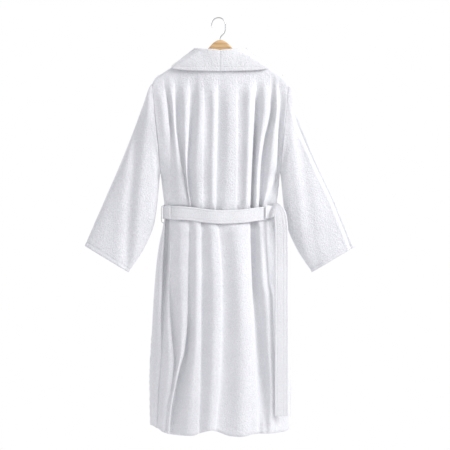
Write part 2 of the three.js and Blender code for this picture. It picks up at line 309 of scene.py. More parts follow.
def node(t, kind, **values):
    n = t.nodes.new(kind)
    for k, v in values.items():
        if hasattr(n, k):
            setattr(n, k, v)
        else:
            n.inputs[k.replace("_", " ")].default_value = v
    return n


def ramp(t, source, stops):
    r = t.nodes.new("ShaderNodeValToRGB")
    e = r.color_ramp.elements
    while len(e) < len(stops):
        e.new(0.5)
    for k, (at, col) in enumerate(stops):
        e[k].position = at
        e[k].color = (*col, 1) if len(col) == 3 else col
    t.links.new(source, r.inputs[0])
    return r


def terry(name, light, dark_with_painted_shade, size=1.0, depth=1.0, ribs=0.0):
    """Cotton terry: small uneven loops in loose rows, a soft nap, and painted shade that makes it slightly darker and
    more lavender between the loops.
    """
    m, t, shader = new_material(name)
    at = node(t, "ShaderNodeTexCoord").outputs["Object"]
    loops = node(t, "ShaderNodeTexVoronoi", feature="F1")
    loops.inputs["Scale"].default_value = 430 / size
    t.links.new(at, loops.inputs["Vector"])
    tufts = node(t, "ShaderNodeTexNoise")
    tufts.inputs["Scale"].default_value = 190 / size
    tufts.inputs["Detail"].default_value = 3
    tufts.inputs["Roughness"].default_value = 0.62
    t.links.new(at, tufts.inputs["Vector"])
    patches = node(t, "ShaderNodeTexNoise")
    patches.inputs["Scale"].default_value = 16
    patches.inputs["Detail"].default_value = 2
    t.links.new(at, patches.inputs["Vector"])
    # height of the pile: loops standing on the tufts
    mul = node(t, "ShaderNodeMath", operation="MULTIPLY")
    t.links.new(loops.outputs["Distance"], mul.inputs[0])
    mul.inputs[1].default_value = -0.55
    add = node(t, "ShaderNodeMath", operation="ADD")
    t.links.new(mul.outputs[0], add.inputs[0])
    t.links.new(tufts.outputs["Fac"], add.inputs[1])
    height = add.outputs[0]
    b = node(t, "ShaderNodeBump")
    b.inputs["Strength"].default_value = 0.75
    b.inputs["Distance"].default_value = 0.0042 * depth
    t.links.new(height, b.inputs["Height"])
    t.links.new(b.outputs[0], shader.inputs["Normal"])
    # colour: random broad patches of tone plus painted shade; the lower the pile's height, the darker and more
    # lavender the colour, as shade between the loops
    tone = node(t, "ShaderNodeMath", operation="MULTIPLY_ADD")
    t.links.new(patches.outputs["Fac"], tone.inputs[0])
    tone.inputs[1].default_value = 0.35
    t.links.new(height, tone.inputs[2])
    col = ramp(t, tone.outputs[0], [(0.25, dark_with_painted_shade), (0.72, light)])
    t.links.new(col.outputs[0], shader.inputs["Base Color"])
    rough = node(t, "ShaderNodeMapRange")
    t.links.new(tufts.outputs["Fac"], rough.inputs["Value"])
    rough.inputs["To Min"].default_value = 1.0
    rough.inputs["To Max"].default_value = 0.88
    t.links.new(rough.outputs[0], shader.inputs["Roughness"])
    shader.inputs["Specular IOR Level"].default_value = 0.12
    shader.inputs["Sheen Weight"].default_value = 0.18
    shader.inputs["Sheen Roughness"].default_value = 0.6
    return m


def stitched(name, light, dark_with_painted_shade):
    """Flat woven tape or thread, finer than the pile; its low bands are painted darker, as shade in the grooves of the
    weave.
    """
    m, t, shader = new_material(name)
    at = node(t, "ShaderNodeTexCoord").outputs["Object"]
    weave = node(t, "ShaderNodeTexWave", wave_type="BANDS", bands_direction="Z")
    weave.inputs["Scale"].default_value = 330
    weave.inputs["Distortion"].default_value = 2.0
    weave.inputs["Detail"].default_value = 1.5
    t.links.new(at, weave.inputs["Vector"])
    # painted shade: the weave's low bands, which are also its bump's grooves, are coloured darker
    col = ramp(t, weave.outputs["Fac"], [(0.1, dark_with_painted_shade), (0.8, light)])
    t.links.new(col.outputs[0], shader.inputs["Base Color"])
    b = node(t, "ShaderNodeBump")
    b.inputs["Strength"].default_value = 0.5
    b.inputs["Distance"].default_value = 0.0006
    t.links.new(weave.outputs["Fac"], b.inputs["Height"])
    t.links.new(b.outputs[0], shader.inputs["Normal"])
    rough = node(t, "ShaderNodeMapRange")
    t.links.new(weave.outputs["Fac"], rough.inputs["Value"])
    rough.inputs["To Min"].default_value = 0.9
    rough.inputs["To Max"].default_value = 0.7
    t.links.new(rough.outputs[0], shader.inputs["Roughness"])
    shader.inputs["Sheen Weight"].default_value = 0.1
    return m


def wood(name):
    """Pale varnished beech: long grain along the arms, fine pores, warm honey tone."""
    m, t, shader = new_material(name)
    at = node(t, "ShaderNodeTexCoord").outputs["Object"]
    mapping = node(t, "ShaderNodeMapping")
    mapping.inputs["Scale"].default_value = (0.22, 1.6, 1.0)
    t.links.new(at, mapping.inputs["Vector"])
    grain = node(t, "ShaderNodeTexNoise")
    grain.inputs["Scale"].default_value = 130
    grain.inputs["Detail"].default_value = 6
    grain.inputs["Roughness"].default_value = 0.6
    grain.inputs["Distortion"].default_value = 0.6
    t.links.new(mapping.outputs[0], grain.inputs["Vector"])
    rings = node(t, "ShaderNodeTexWave", wave_type="BANDS", bands_direction="Z")
    rings.inputs["Scale"].default_value = 26
    rings.inputs["Distortion"].default_value = 5
    rings.inputs["Detail"].default_value = 3
    rings.inputs["Detail Scale"].default_value = 1.3
    t.links.new(mapping.outputs[0], rings.inputs["Vector"])
    mix = node(t, "ShaderNodeMath", operation="MULTIPLY_ADD")
    t.links.new(rings.outputs["Fac"], mix.inputs[0])
    mix.inputs[1].default_value = 0.45
    t.links.new(grain.outputs["Fac"], mix.inputs[2])
    col = ramp(t, mix.outputs[0], [(0.28, (0.44, 0.245, 0.105)), (0.62, (0.62, 0.385, 0.185)), (0.95, (0.71, 0.475, 0.25))])
    t.links.new(col.outputs[0], shader.inputs["Base Color"])
    rough = node(t, "ShaderNodeMapRange")
    t.links.new(grain.outputs["Fac"], rough.inputs["Value"])
    rough.inputs["To Min"].default_value = 0.52
    rough.inputs["To Max"].default_value = 0.34
    t.links.new(rough.outputs[0], shader.inputs["Roughness"])
    b = node(t, "ShaderNodeBump")
    b.inputs["Strength"].default_value = 0.25
    b.inputs["Distance"].default_value = 0.0004
    t.links.new(grain.outputs["Fac"], b.inputs["Height"])
    t.links.new(b.outputs[0], shader.inputs["Normal"])
    shader.inputs["Coat Weight"].default_value = 0.25
    shader.inputs["Coat Roughness"].default_value = 0.25
    return m


def steel(name):
    """Drawn and plated wire: fine lengthwise brushing, a little worn at the crown."""
    m, t, shader = new_material(name)
    at = node(t, "ShaderNodeTexCoord").outputs["Object"]
    fine = node(t, "ShaderNodeTexNoise")
    fine.inputs["Scale"].default_value = 600
    fine.inputs["Detail"].default_value = 2
    t.links.new(at, fine.inputs["Vector"])
    worn = node(t, "ShaderNodeTexNoise")
    worn.inputs["Scale"].default_value = 60
    worn.inputs["Detail"].default_value = 3
    t.links.new(at, worn.inputs["Vector"])
    col = ramp(t, worn.outputs["Fac"], [(0.3, (0.50, 0.50, 0.51)), (0.7, (0.68, 0.68, 0.70))])
    t.links.new(col.outputs[0], shader.inputs["Base Color"])
    rough = node(t, "ShaderNodeMapRange")
    t.links.new(fine.outputs["Fac"], rough.inputs["Value"])
    rough.inputs["To Min"].default_value = 0.22
    rough.inputs["To Max"].default_value = 0.42
    t.links.new(rough.outputs[0], shader.inputs["Roughness"])
    shader.inputs["Metallic"].default_value = 1.0
    return m


# the second colour of each terry and of the tape is their darker end, where painted shade falls between the loops and
# in the tape's grooves
M_TERRY = terry("terry_cloth", (0.915, 0.915, 0.94), (0.80, 0.80, 0.835))
M_COLLAR = terry("collar_terry_cloth", (0.92, 0.92, 0.94), (0.81, 0.81, 0.84), size=0.85)
M_BELT = terry("belt_terry_cloth", (0.92, 0.92, 0.94), (0.82, 0.82, 0.85), size=0.75, depth=0.7)
M_TAPE = stitched("tape_and_thread", (0.88, 0.88, 0.90), (0.70, 0.70, 0.73))
M_WOOD = wood("honey_wood")
M_STEEL = steel("plated_wire")

# ----------------------------------------------------- the body's own surfaces
HALF_WIDTH = [
    (-1372, 229), (-1330, 231), (-1199, 233), (-1035, 226), (-870, 216), (-760, 204),
    (-700, 192), (-648, 183), (-600, 186), (-560, 191), (-513, 196), (-420, 203),
    (-320, 213), (-222, 224),
]
BACK_DEPTH = [
    (-1372, 76), (-1199, 75), (-1035, 72), (-870, 68), (-760, 60), (-648, 50),
    (-560, 56), (-420, 54), (-300, 40), (-222, 34), (-100, 26),
]
FRONT_DEPTH = [
    (-1372, 70), (-1199, 68), (-1035, 65), (-870, 62), (-760, 56), (-648, 48),
    (-560, 52), (-420, 50), (-300, 38), (-222, 30), (-100, 24),
]
SHOULDER_RIDGE = [
    (0, -107), (70, -108), (80, -113), (100, -124), (130, -142), (162, -162), (190, -180),
    (208, -192), (218, -202), (224, -214), (240, -240),
]
FALL_OFF = [
    (0, 1.5), (2, 8), (6, 12.5), (20, 16), (50, 20), (110, 30), (200, 42), (320, 52), (480, 62), (2000, 90),
]
HEM = [
    (-240, -1350), (-222, -1362), (-150, -1370), (-70, -1376), (0, -1366), (60, -1364),
    (100, -1374), (150, -1374), (190, -1362), (212, -1352), (240, -1345),
]
HEM_SMOOTH = [(-240, -1330), (-232, -1340), (-219, -1358), (-153, -1364), (-114, -1364), (-71, -1373), (-32, -1371), (1, -1360), (28, -1352), (61, -1360), (94, -1370), (149, -1369), (189, -1360), (210, -1347), (228, -1340), (240, -1338)]
ARM_TOP, ARM_BOTTOM, ARM_DEPTH = -222.0, -513.0, 36.0
NECK_HALF, NECK_Z, NECK_Y = 78.0, -107.0, 19.0


def half_width(z):
    return smooth(HALF_WIDTH, z)


def ridge(x):
    return smooth(SHOULDER_RIDGE, np.abs(x))


def arm_depth(z):
    c = np.clip((z - (ARM_TOP + ARM_BOTTOM) / 2) / ((ARM_TOP - ARM_BOTTOM) / 2), -1, 1)
    return ARM_DEPTH * np.sqrt(1 - c * c)


def shoulder_pad(z):
    return lin([(-330, 0), (-240, 15), (-200, 15)], z)


def neck_depth(x):
    s = np.minimum(1, np.abs(x) / (NECK_HALF + 2))
    return NECK_Y * np.sqrt(1 - s * s)


def depth(x, z, cap, neck):
    s = np.minimum(1, np.abs(x) / half_width(z))
    fall = np.minimum(lin(FALL_OFF, np.maximum(0, ridge(x) - z)), smooth(cap, z))
    edge = np.minimum(np.maximum(arm_depth(z), shoulder_pad(z)), fall)
    full = edge + (fall - edge) * np.maximum(0, 1 - s * s) ** 0.65
    return 1.0 + np.hypot(full, neck)


def back_y(x, z):
    return depth(x, z, BACK_DEPTH, neck_depth(x) * np.maximum(0, 1 - (NECK_Z - z) / 200))


def front_y(x, z):
    return -depth(x, z, FRONT_DEPTH, 0 * x)


def belt_z(x):
    return smooth([(-230, -641), (-141, -644), (-115, -647), (-72, -652.5), (-30, -655), (-2, -655.5), (28, -654), (60, -650), (103, -644), (166, -641), (230, -639)], x)


# -------------------------------------------------------------- folded panels
class Fold:
    """One leaning fold: where its edge runs, how high its crest stands over the
    cloth, how deep the crevice beside it is, how far that is undercut, and how wide."""

    def __init__(self, edge, crest, deep, under, gap):
        self.edge, self.crest, self.deep, self.under, self.gap = edge, crest, deep, under, gap

    def at(self, z):
        return [float(smooth(f, z)) if isinstance(f, list) else float(f) for f in (self.edge, self.crest, self.deep, self.under, self.gap)]


def section(z, x_first, x_last, folds, amount=1.0):
    """Control points (x, offset) across one height, from x_first to x_last. Folds lean from first to last."""
    way = 1 if x_last > x_first else -1
    pts = [(x_first, 0.0)]
    prev, prev_deep = x_first, 0.0
    for f in folds:
        e, crest, deep, under, gap = f.at(z)
        crest, deep = crest * amount, deep * amount
        w = abs(e - prev)
        pts += [
            (prev + way * 0.12 * w, -0.90 * prev_deep),
            (prev + way * 0.29 * w, -0.45 * prev_deep + 0.33 * crest),
            (prev + way * 0.47 * w, -0.08 * prev_deep + 0.92 * crest),
            (prev + way * 0.64 * w, crest),
            (prev + way * 0.82 * w, 0.68 * crest - 0.12 * deep),
            (e - way * min(0.06 * w, 3.0), 0.35 * crest - 0.24 * deep),
            (e + way * 0.6, -0.36 * deep),
            (e - way * 0.5 * under, -0.70 * deep),
            (e - way * under + way * 0.5 * gap, -1.08 * deep),
        ]
        prev, prev_deep = e + way * (gap - 0.5 * under), deep
    w = abs(x_last - prev)
    pts += [
        (prev + way * 0.2 * w, -0.9 * prev_deep),
        (prev + way * 0.55 * w, -0.4 * prev_deep),
        (prev + way * 0.85 * w, -0.08 * prev_deep),
        (x_last, 0.0),
    ]
    return np.array(pts)


UPPER = [
    Fold([(-645.1, 172.6), (-466.9, 167.6), (-387.8, 164.3), (-344.8, 167.6), (-292.1, 172.6), (-252.4, 179.2), (-219.4, 187.4)],
         [(-645.1, 0), (-516.4, 0), (-400.9, 2), (-344.8, 6), (-268.9, 5), (-212.8, 2)], [(-645.1, 1), (-466.9, 2), (-400.9, 6), (-344.8, 13), (-268.9, 10), (-212.8, 3)], [(-433.9, 0), (-344.8, 2), (-212.8, 1)], [(-645.1, 5), (-344.8, 6), (-212.8, 5)]),
    Fold([(-645.1, 103.3), (-622, 104.9), (-542.9, 116.5), (-433.9, 134.6), (-358, 144.5), (-278.8, 147.8), (-212.8, 152.8)],
         [(-645.1, 4), (-278.8, 5), (-212.8, 3)], [(-622, 2), (-542.9, 6), (-433.9, 14), (-358, 15), (-278.8, 13), (-212.8, 4)], [(-542.9, 0), (-358, 1.5), (-212.8, 0)], [(-622, 2), (-542.9, 4), (-433.9, 8), (-358, 9), (-212.8, 8)]),
    Fold([(-645.1, 93.4), (-622, 95.4), (-542.9, 105.9), (-490, 108.6), (-377.8, 102.6), (-292.1, 100), (-212.8, 103.3)],
         [(-645.1, 4), (-292.1, 6), (-212.8, 3)], [(-622, 9), (-490, 16), (-377.8, 17), (-278.8, 14), (-212.8, 9)], [(-622, 1), (-490, 2), (-377.8, 2), (-212.8, 0)], [(-645.1, 4), (-433.9, 5), (-351.4, 9), (-278.8, 15), (-212.8, 18)]),
    Fold([(-645.1, 57.1), (-433.9, 57.1), (-292.1, 53.8), (-212.8, 57.1)],
         [(-645.1, 2.5), (-268.9, 2.5), (-212.8, 1)], [(-645.1, 4), (-292.1, 4), (-212.8, 2)], 0.0, 14),
    Fold([(-645.1, 15.2), (-542.9, 14.2), (-433.9, 10.9), (-292.1, 8.9), (-212.8, 10.2)],
         [(-645.1, 4), (-252.4, 4), (-212.8, 1)], [(-645.1, 9), (-532.9, 12), (-351.4, 13), (-278.8, 10), (-212.8, 2)], [(-645.1, 1), (-351.4, 1.5), (-212.8, 0)], 5),
    Fold([(-645.1, -51.8), (-433.9, -55.1), (-212.8, -53.5)],
         [(-645.1, 2), (-212.8, 0.5)], [(-645.1, 5), (-433.9, 5), (-292.1, 6), (-212.8, 3)], 0.0, 14),
    Fold([(-645.1, -98.7), (-532.9, -102.6), (-433.9, -107.2), (-292.1, -114.5), (-229.3, -117.1), (-196.3, -112.9)],
         [(-645.1, 7), (-252.4, 8), (-212.8, 4)], [(-645.1, 22), (-433.9, 29), (-292.1, 25), (-235.9, 15), (-202.9, 4)], [(-645.1, 4), (-292.1, 4), (-212.8, 1)], [(-645.1, 5), (-292.1, 5), (-212.8, 7)]),
    Fold([(-645.1, -126.4), (-490, -133), (-407.5, -143.5), (-292.1, -165.7), (-212.8, -165.7)],
         [(-645.1, 4), (-292.1, 4), (-212.8, 3)], [(-645.1, 18), (-490, 24), (-334.9, 19), (-268.9, 10), (-212.8, 5)], [(-645.1, 2), (-334.9, 2), (-212.8, 0)], [(-645.1, 5), (-334.9, 6), (-212.8, 6)]),
    Fold([(-645.1, -147.5), (-615.4, -150.8), (-565.9, -169), (-516.4, -182.2), (-460.3, -187.1), (-377.8, -190.4), (-292.1, -195.4), (-212.8, -190.4)],
         [(-645.1, 6), (-292.1, 6), (-212.8, 3)], [(-645.1, 12), (-526.4, 12), (-377.8, 15), (-292.1, 12), (-212.8, 3)], [(-645.1, 1), (-377.8, 1.5), (-212.8, 0)], [(-645.1, 5), (-212.8, 5)]),
]
LOWER = [
    Fold([(-1381, 209.5), (-1348, 208.9), (-1219.3, 202.9), (-1087.3, 193.4), (-978.4, 193.4), (-869.5, 189.8), (-658.3, 179.8)],
         [(-1381, 4), (-928.9, 4), (-658.3, 2)], [(-1381, 3), (-1127, 4), (-1044.5, 8), (-961.9, 15), (-862.9, 22), (-747.4, 24), (-658.3, 16)], [(-1028, 1), (-796.9, 2.5), (-658.3, 1)], [(-1381, 3), (-1028, 4), (-928.9, 8), (-796.9, 12), (-658.3, 9)]),
    Fold([(-1381, 180.8), (-1285.3, 173.2), (-1199.5, 157.4), (-1127, 151.5), (-1034.5, 159.4), (-922.3, 166), (-796.9, 167.6), (-658.3, 166)],
         [(-1381, 4), (-1143.5, 5), (-994.9, 5), (-895.9, -1), (-796.9, -8), (-658.3, -9)], [(-1381, 1), (-1259, 1.5), (-1193, 5), (-1133.5, 11), (-1044.5, 15), (-945.4, 11), (-879.4, 5), (-813.4, 1), (-658.3, 0.5)], [(-1193, 0), (-1034.5, 1.5), (-658.3, 0)], [(-1381, 2), (-1209.5, 2), (-1143.5, 4), (-1061, 6), (-928.9, 5), (-658.3, 3)]),
    Fold([(-1381, 167.6), (-1291.9, 159.4), (-1169.8, 136.3), (-1087.3, 115.2), (-1001.5, 107.2), (-869.5, 105.3), (-658.3, 102.3)],
         [(-1381, 5), (-1028, 7), (-869.5, 6), (-658.3, 4)], [(-1381, 12), (-1291.9, 22), (-1169.8, 25), (-1044.5, 22), (-945.4, 12), (-869.5, 8), (-658.3, 6)], [(-1381, 2), (-1291.9, 4), (-1087.3, 5), (-1001.5, 2), (-658.3, 1)], [(-1381, 9), (-1291.9, 11), (-1169.8, 9), (-1087.3, 6), (-1001.5, 4), (-658.3, 3)]),
    Fold([(-1381, 71.9), (-1308.4, 68.6), (-1199.5, 65.3), (-1034.5, 62), (-869.5, 61.7), (-658.3, 62.7)],
         [(-1381, 6), (-796.9, 6), (-658.3, 3)], [(-1381, 9), (-1034.5, 13), (-869.5, 12), (-658.3, 9)], [(-1381, 0), (-1034.5, 1), (-658.3, 0.5)], 6),
    Fold([(-1381, 20.8), (-1341.4, 15.8), (-1199.5, 2.6), (-1034.5, -4), (-869.5, -4.6), (-787, -0.3), (-658.3, 10.9)],
         [(-1381, 4), (-869.5, 5), (-658.3, 3)], [(-1381, 11), (-1199.5, 15), (-1034.5, 14), (-869.5, 10), (-658.3, 6)], 0.0, [(-1381, 14), (-1034.5, 12), (-658.3, 8)]),
    Fold([(-1381, -124.4), (-1298.5, -123.1), (-1199.5, -121.8), (-1127, -118.8), (-1001.5, -112.9), (-869.5, -104.6), (-658.3, -98)],
         [(-1381, 9), (-796.9, 10), (-658.3, 6)], [(-1381, 7), (-1298.5, 18), (-1199.5, 27), (-1001.5, 31), (-763.9, 30), (-658.3, 22)], [(-1381, 1), (-1199.5, 3), (-869.5, 5), (-658.3, 3)], [(-1381, 6), (-1298.5, 22), (-1199.5, 24), (-1001.5, 16), (-869.5, 11), (-658.3, 8)]),
    Fold([(-1381, -185.5), (-1209.5, -182.2), (-1117, -175.9), (-1001.5, -174.6), (-919, -172.3), (-869.5, -160.7), (-763.9, -154.1), (-658.3, -150.8)],
         [(-1381, 1), (-1028, 2), (-869.5, 5), (-658.3, 3)], [(-1381, 3), (-1117, 8), (-968.5, 12), (-895.9, 22), (-796.9, 26), (-658.3, 22)], [(-1028, 0), (-869.5, 2), (-658.3, 1)], [(-1381, 5), (-994.9, 6), (-895.9, 11), (-780.4, 20), (-658.3, 20)]),
]


def panel(x_first, x_last, layers, columns, waist=None):
    """Folded cloth tabulated over heights: position and offset for each column.
    layers is a list of fold lists from the top down; the first rules above z -634 and the last below z -660, blended
    between them."""
    zs = np.arange(-100.0, -1384.0, -4.0)
    X = np.zeros((len(zs), columns))
    O = np.zeros((len(zs), columns))
    for i, z in enumerate(zs):
        xf, xl = float(x_first(z)), float(x_last(z))
        amount = float(bump01((-z - 174) / 100))
        rows = []
        for folds in layers:
            s = spline(section(z, xf, xl, folds, amount), columns)
            # the spline falls short of its end points by nothing, as they are clamped
            rows.append(s)
        w = float(bump01((-z - 634) / 26)) if len(layers) > 1 else 0.0
        s = rows[0] * (1 - w) + rows[-1] * w
        X[i], O[i] = s[:, 0], s[:, 1]
    return zs, X, O


def lay_panel(tab, v, top, hem, y_of):
    """Grid of points: v down the panel, columns across."""
    zs, X, O = tab
    cols = X.shape[1]
    asc = zs[::-1]
    x = np.repeat(X[len(zs) // 2][None], len(v), 0)
    for _ in range(6):
        z = top(x) + (hem(x) - top(x)) * v[:, None]
        x = np.stack([np.interp(z[:, c], asc, X[::-1, c]) for c in range(cols)], 1)
    off = np.stack([np.interp(z[:, c], asc, O[::-1, c]) for c in range(cols)], 1)
    return x, z, off


def blur(a, n, axis):
    """Smooths a grid n times along an axis, its ends held."""
    a = a.copy()
    for _ in range(n):
        b = np.moveaxis(a, axis, 0)
        c = b.copy()
        c[1:-1] = 0.25 * b[:-2] + 0.5 * b[1:-1] + 0.25 * b[2:]
        a = np.moveaxis(c, 0, axis)
    return a


made = {}

# ----------------------------------------------------------------- back panel
ROWS_N, COLS_N = 205, 190


def waist_limit(x, z, off):
    """Under the belt the folds are pressed flat, and the cloth blouses over its edges."""
    d = np.abs(z - belt_z(x))
    off = off + 4.5 * bell((d - 46) / 20)
    lim = -1.8 + 40 * bump01((d - 20) / 34)
    return np.where(off > lim, lim - 0.0, off)


tab = panel(lambda z: half_width(min(z, -222.0)), lambda z: -half_width(min(z, -222.0)), [UPPER, LOWER], COLS_N)
v = np.linspace(0, 1, ROWS_N) ** 1.35
hem_of = lambda x: smooth(HEM_SMOOTH, x)
x, z, off = lay_panel(tab, v, ridge, hem_of, None)
base = back_y(x, np.minimum(z, ridge(x)))
fade = bump01((ridge(x) - z) / 26)
off = waist_limit(x, z, off) * fade
# lazy cross ripples and small puckers near the hem's right corner
off = off + 1.6 * noise3(np.stack([x * 1.0, 0 * x, z * 0.28], -1), 34) * fade
off = off + 3.2 * np.sin((x + 120) / 4.2) * bell((x + 141) / 26) * bell((z + 1345) / 26)
y = base + off
near = (z > -245) & (np.abs(x) < 216) & (ridge(x) - z > 7)
y = np.where(near, np.maximum(y, 12.5), y)
y = np.maximum(y, WRAP + 0.4)
y = blur(y, 2, 0)
back = np.stack([x, y, z], -1)
up = z - hem_of(x)
lift = -1.1 * bell((up - 26) / 2.4) + 0.5 * bump01((26 - up) / 3)
made["back_cloth"] = cloth("back_cloth", back, out=(0, 1, 0), lift=lift, material=M_TERRY)

# --------------------------------------------------------------- front panels
FRONT_EDGE = [(-1372, 3.2), (-700, 3.2), (-620, 3.2), (-300, 46), (-180, 66), (-113, 79)]
FRONT_FOLDS = [
    Fold([(-1372, 196), (-900, 190), (-640, 172), (-520, 184), (-260, 204)], 2.0, [(-1372, 12), (-700, 8), (-520, 7), (-240, 2)], 1.0, 6),
    Fold([(-1372, 158), (-960, 150), (-640, 140), (-520, 172), (-260, 186)], [(-1372, 5), (-980, 2.0), (-780, 2.0), (-640, 2), (-240, 0)], [(-1372, 15), (-1000, 7), (-940, 3), (-780, 3), (-640, 7), (-500, 5), (-240, 1)], 0.5, 8),
    Fold([(-1372, 112), (-960, 104), (-640, 100), (-520, 118), (-260, 150)], [(-1372, 5), (-980, 1.5), (-780, 1.5), (-640, 1), (-500, 0)], [(-1372, 12), (-1000, 6), (-940, 2), (-780, 2), (-640, 7), (-540, 2), (-400, 0)], 0.0, 14),
    Fold([(-1372, 58), (-960, 55), (-640, 52), (-520, 70), (-260, 110)], [(-1372, 5), (-980, 1), (-780, 1), (-640, 1), (-500, 0)], [(-1372, 10), (-1000, 5), (-940, 2), (-780, 2), (-640, 4), (-540, 1), (-400, 0)], 0.0, 14),
]
FR, FC = 190, 110
front_skin = {}
for side, tag in ((1, "left"), (-1, "right")):
    tab = panel(lambda z: half_width(min(z, -222.0)), lambda z: lin(FRONT_EDGE, z), [FRONT_FOLDS], FC)
    v = np.linspace(0, 1, FR) ** 1.3
    x, z, off = lay_panel(tab, v, ridge, lambda q: smooth(HEM_SMOOTH, side * q), None)
    fade = bump01((ridge(x) - z) / 26)
    d = np.abs(z + 640)
    off = np.minimum(off, -0.5 + 30 * bump01((d - 18) / 40)) * fade
    off = off + 1.2 * noise3(np.stack([x * 1.0 + 500 * side, 0 * x, z * 0.28], -1), 36) * fade
    y = front_y(x, np.minimum(z, ridge(x))) - off
    near = (z > -245) & (np.abs(x) < 216) & (ridge(x) - z > 7)
    y = np.where(near, np.minimum(y, -12.5), y)
    y = np.minimum(y, -(WRAP + 0.4))
    y = blur(y, 2, 0)
    p = np.stack([side * x, y, z], -1)
    up = z - smooth(HEM_SMOOTH, side * x)
    across = x - lin(FRONT_EDGE, z)
    lift = -1.1 * bell((up - 26) / 2.4) + 0.5 * bump01((26 - up) / 3)
    lift = np.where(z < -660, lift - 1.1 * bell((across - 34) / 2.2), lift)
    made["front_cloth_" + tag] = cloth("front_cloth_" + tag, p, out=(0, -1, 0), lift=lift, material=M_TERRY)
    front_skin[side] = p

# --------------------------------------------------------- collar and lapels
ROLL_X = [(0, 84), (30, 77), (60, 44), (90, 0)]
ROLL_Z = [(0, -101), (30, -101), (60, -104.5), (90, -107)]
EDGE_X = [(0, 161), (6, 160), (16, 154), (32, 134), (52, 100), (90, 0)]
EDGE_Z = [(0, -155), (6, -160), (16, -166.5), (32, -170), (52, -172.5), (90, -175)]
NU, NT = 150, 62


def collar_part():
    deg = np.linspace(0, 180, NU)
    fold = np.minimum(deg, 180 - deg)
    sgn = np.where(deg > 90, -1.0, 1.0)
    t = np.linspace(-0.34, 1, NT)[:, None]
    tt = np.maximum(t, 0)
    rx, rz = sgn * lin(ROLL_X, fold), smooth(ROLL_Z, fold)
    ex, ez = sgn * lin(EDGE_X, fold), smooth(EDGE_Z, fold)
    rx, ex = blur(rx[None], 6, 1)[0], blur(ex[None], 6, 1)[0]
    x = rx + (ex - rx) * tt
    z = rz + (ez - rz) * tt
    drop = np.maximum(0, ridge(x) + 7 - z)
    under = lin(FALL_OFF, drop) + 10 * np.minimum(1, drop / 12)
    arc = (NECK_Y + 13) * np.sin(np.radians(deg))[None] + 0 * x
    y = WRAP + np.maximum(under * (fold > 0), arc)
    # a soft swell over the fall, and a narrow turn at the roll
    y = y + 3.0 * np.sin(np.pi * np.clip(tt, 0, 1)) * np.sin(np.radians(deg))[None] ** 0.5
    y = blur(blur(y, 5, 1), 3, 0)
    inside = np.maximum(-t, 0) / 0.34
    nx = np.sin(np.radians(deg))[None]
    turn = np.minimum(inside / 0.3, 1)
    y = y - (11.5 * np.sin(turn * np.pi / 2)) * np.maximum(nx, 0.15)
    z = z + 2.6 * np.sin(turn * np.pi) - 27 * np.maximum(inside - 0.3, 0) / 0.7
    x = x + 0 * y
    z = z + 0.9 * noise3(np.stack([x, 0 * x, 0 * x + 50], -1), 26) * (tt < 0.9)
    edge = np.clip(tt, 0, 1)
    dist = (1 - edge) * np.hypot(ex - rx, ez - rz)[None]
    lift = -1.0 * bell((dist - 12) / 1.8) + 0 * y
    lift = lift - 1.5 * bell((x - 1.5) / 1.6) * (t > -0.1)
    return np.stack([x, y, z], -1), lift


p, lift = collar_part()
made["collar_cloth"] = cloth("collar_cloth", p, out=(0, 0.6, 0.4), lift=lift, material=M_COLLAR)

L_ROLL = [(-660, 3), (-600, 6), (-540, 12), (-420, 30), (-300, 50), (-200, 68), (-140, 80), (-99, 84)]
L_OUT = [(-655, 16), (-600, 34), (-538, 58), (-480, 98), (-400, 134), (-300, 158), (-220, 166), (-155, 161)]
LR, LC = 170, 54
for side, tag in ((1, "left"), (-1, "right")):
    w = np.linspace(0, 1, LR)[:, None] ** 1.35
    u = np.linspace(-0.16, 1, LC)[None]
    uu = np.maximum(u, 0)
    rz, oz = -99 + (-660 + 99) * w, -155 + (-655 + 155) * w
    rx, ox = smooth(L_ROLL, rz), smooth(L_OUT, oz)
    x = rx + (ox - rx) * uu
    z = rz + (oz - rz) * uu
    drop = np.maximum(0, ridge(x) + 7 - z)
    lie = np.where(drop < 10, 0, -front_y(x, np.minimum(z, ridge(x))) + 6.5)
    under = lin(FALL_OFF, drop) + 8 * np.minimum(1, drop / 12)
    y = -WRAP - np.maximum(under, lie) - 5.0 * np.sin(np.pi * np.clip(uu, 0, 1)) ** 0.7 * bump01(w / 0.1) * bump01((1 - w) / 0.2)
    y = blur(blur(y, 6, 0), 3, 1)
    inside = np.maximum(-u, 0) / 0.16
    turn = np.minimum(inside / 0.45, 1)
    open_w = bump01(w / 0.05)
    y = y + (10 * np.sin(turn * np.pi / 2)) * (0.15 + 0.85 * open_w)
    under_w = 0.2 * np.maximum(inside - 0.45, 0) / 0.55
    x = x - 2.5 * np.sin(turn * np.pi) * open_w + (ox - rx) * under_w
    z = z + (oz - rz) * under_w
    p = np.stack([side * x, np.minimum(y, -WRAP), z], -1)
    dist = (1 - uu) * np.hypot(ox - rx, oz - rz)
    lift = -1.0 * bell((dist - 12) / 1.8) + 0 * y
    made["lapel_cloth_" + tag] = cloth("lapel_cloth_" + tag, p, out=(0, -1, 0), lift=lift, material=M_COLLAR)

